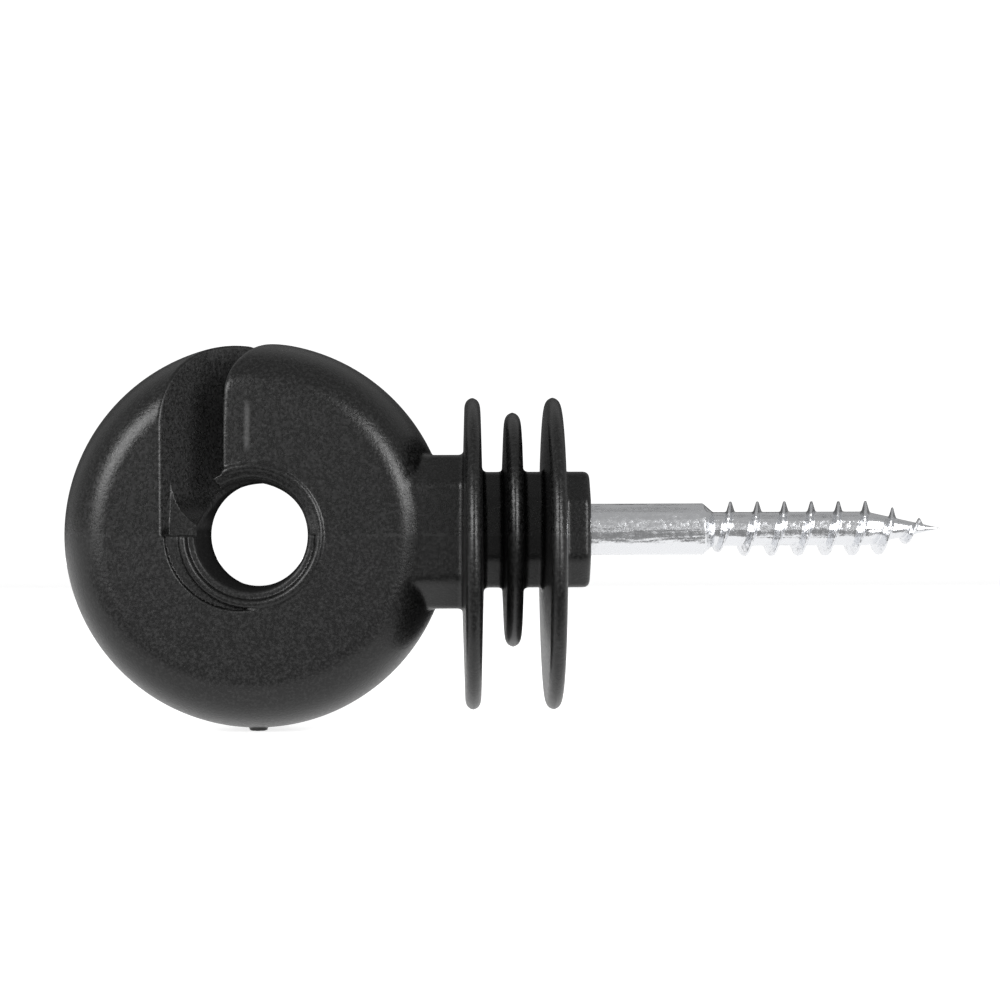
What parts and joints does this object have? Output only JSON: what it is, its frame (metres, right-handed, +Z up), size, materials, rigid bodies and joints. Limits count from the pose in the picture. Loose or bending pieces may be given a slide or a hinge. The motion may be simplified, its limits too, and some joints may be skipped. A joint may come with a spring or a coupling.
{
  "type": "screw-in ring insulator",
  "caption": "Black moulded ring with a slanting wire slot from its rim to its wire hole and rain sheds on its neck, cast round a wood screw that holds it to a fence post.",
  "frame": {"origin": "middle of the core's end face on the screw's axis, where the insulator meets the post", "axes": "+X along the screw to its tip, +Y along the wire hole away from the viewer, +Z up through the open end of the slot"},
  "size_m": [0.0954, 0.034, 0.0421],
  "materials": {
    "black_plastic": "satin black polyolefin, fine spark-eroded grain",
    "bright_zinc": "bright zinc-plated steel, smooth"
  },
  "bodies": {
    "root": {"insulator_body": "black_plastic", "wood_screw": "bright_zinc"}
  },
  "joints": []
}
